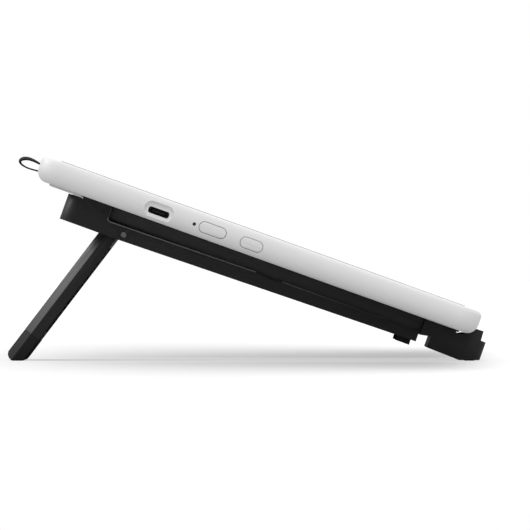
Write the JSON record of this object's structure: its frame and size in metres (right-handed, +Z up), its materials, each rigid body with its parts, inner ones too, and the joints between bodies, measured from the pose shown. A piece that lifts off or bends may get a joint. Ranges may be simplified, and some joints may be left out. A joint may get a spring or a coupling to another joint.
{
  "type": "pen drawing tablet",
  "caption": "Slim pen display in a white shell, lying on a black folding desk stand with a hinged rear leg and a cupped front bar.",
  "frame": {"origin": "on the desk, below the middle of the object's bounding box", "axes": "+Z up, -Y towards the user, +X to the user's right; the port and buttons are on the -X edge"},
  "size_m": [0.336, 0.2283, 0.0974],
  "materials": {
    "white_shell": "fine satin moulded ABS",
    "white_foot": "soft matt silicone",
    "screen_glass": "etched anti-glare glass over a dark screen",
    "display_cell": "dark display cell",
    "tray_aluminium": "pressed sheet",
    "circuit_board": "solder mask",
    "port_metal": "drawn stainless",
    "black_moulding": "spark-eroded black ABS",
    "black_trim": "plain black plastic",
    "black_rubber": "matt black rubber",
    "loop_elastic": "woven elastic",
    "lamp_lens": "smoked lens",
    "steel_hardware": "plated steel"
  },
  "bodies": {
    "stand": {"crossbar_bolt_left_1": "steel_hardware", "crossbar_bolt_left_2": "steel_hardware", "crossbar_bolt_right_1": "steel_hardware", "crossbar_bolt_right_2": "steel_hardware", "deck_plate": "black_moulding", "deck_screw_1": "steel_hardware", "deck_screw_2": "steel_hardware", "deck_screw_3": "steel_hardware", "deck_screw_4": "steel_hardware", "flat_foot_left": "black_rubber", "flat_foot_right": "black_rubber", "friction_washer_left": "steel_hardware", "friction_washer_right": "steel_hardware", "front_bar": "black_moulding", "front_lip_pad_left": "black_rubber", "front_lip_pad_right": "black_rubber", "front_sole_pad_left": "black_rubber", "front_sole_pad_right": "black_rubber", "hinge_pin_left": "steel_hardware", "hinge_pin_right": "steel_hardware", "hinge_plate_left": "steel_hardware", "hinge_plate_right": "steel_hardware", "hinge_rivet_left": "steel_hardware", "hinge_rivet_right": "steel_hardware", "rear_crossbar": "black_moulding", "rear_rest_pad_left": "black_rubber", "rear_rest_pad_right": "black_rubber", "side_rail_left": "black_moulding", "side_rail_right": "black_moulding", "tie_bar_left": "steel_hardware", "tie_bar_right": "steel_hardware"},
    "leg": {"leg_panel": "black_moulding", "leg_shoe": "black_rubber"},
    "tablet": {"backlight_tray": "tray_aluminium", "cover_glass": "screen_glass", "digitizer_board": "circuit_board", "display_panel": "display_cell", "front_foot_strip": "white_foot", "function_switch": "black_trim", "loop_anchor": "black_trim", "main_board": "circuit_board", "pen_loop": "loop_elastic", "power_switch": "black_trim", "processor_shield": "port_metal", "rear_foot_strip": "white_foot", "rear_shell": "white_shell", "shell_screw_1": "steel_hardware", "shell_screw_2": "steel_hardware", "shell_screw_3": "steel_hardware", "shell_screw_4": "steel_hardware", "shell_screw_5": "steel_hardware", "shell_screw_6": "steel_hardware", "shield_plate": "tray_aluminium", "status_light_pipe": "lamp_lens", "usb_c_shell": "port_metal", "usb_c_tongue": "black_trim"},
    "power_button": {"power_button": "white_shell"},
    "function_button": {"function_button": "white_shell"}
  },
  "joints": [
    {"name": "leg_fold", "type": "hinge", "parent": "stand", "child": "leg", "pos_m": [0, 0.06409, 0.0631], "axis": [-1, 0, 0], "range_deg": [0, 107.6]},
    {"name": "tablet_lift", "type": "slide", "parent": "stand", "child": "tablet", "axis": [0, -0.3376, 0.9413], "range_m": [0, 0.06]},
    {"name": "power_press", "type": "slide", "parent": "tablet", "child": "power_button", "axis": [1, 0, 0], "range_m": [0, 0.0005], "stiffness_N_per_m": 1500},
    {"name": "function_press", "type": "slide", "parent": "tablet", "child": "function_button", "axis": [1, 0, 0], "range_m": [0, 0.0005], "stiffness_N_per_m": 1500}
  ]
}
